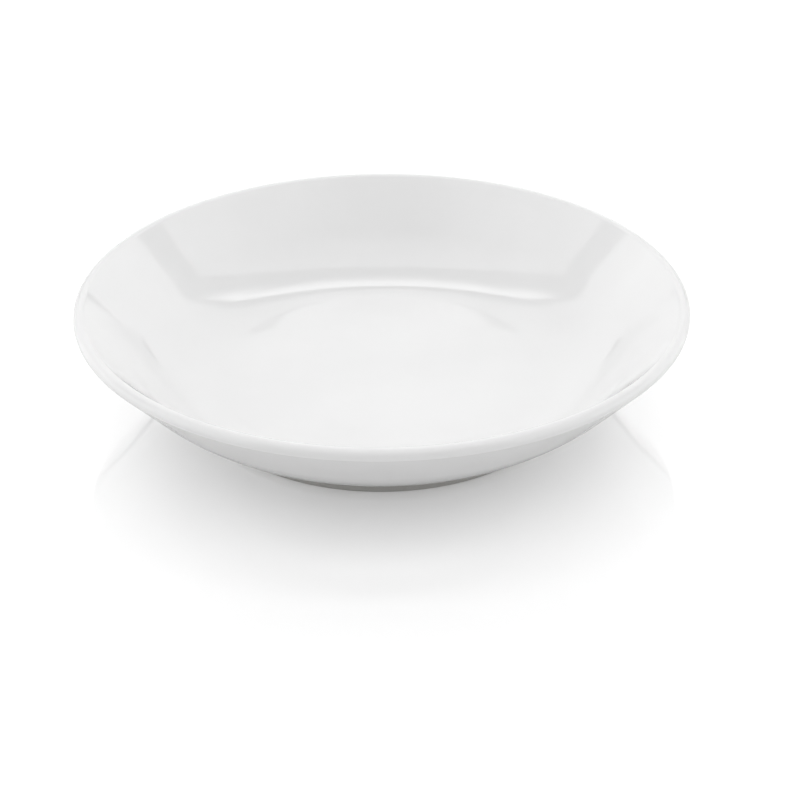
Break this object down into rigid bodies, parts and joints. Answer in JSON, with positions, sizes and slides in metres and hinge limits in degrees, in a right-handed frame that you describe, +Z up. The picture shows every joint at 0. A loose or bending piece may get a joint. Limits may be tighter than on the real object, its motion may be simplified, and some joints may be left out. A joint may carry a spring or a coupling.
{
  "type": "soup plate",
  "caption": "Round coupe soup plate in white glazed porcelain, with a wide flat well, a side wall that steepens up to a rounded lip, and a low bare foot ring.",
  "frame": {"origin": "centre of the foot ring, on the plane that it stands on", "axes": "+Z up along the plate's axis of revolution; X and Y are any two directions across the plate"},
  "size_m": [0.21, 0.21, 0.0407],
  "materials": {
    "bare_porcelain": "matte, ground, greyed by use",
    "white_glaze": "gloss"
  },
  "bodies": {
    "root": {"porcelain_body": "bare_porcelain", "plate_glaze": "white_glaze", "base_glaze": "white_glaze"}
  },
  "joints": []
}
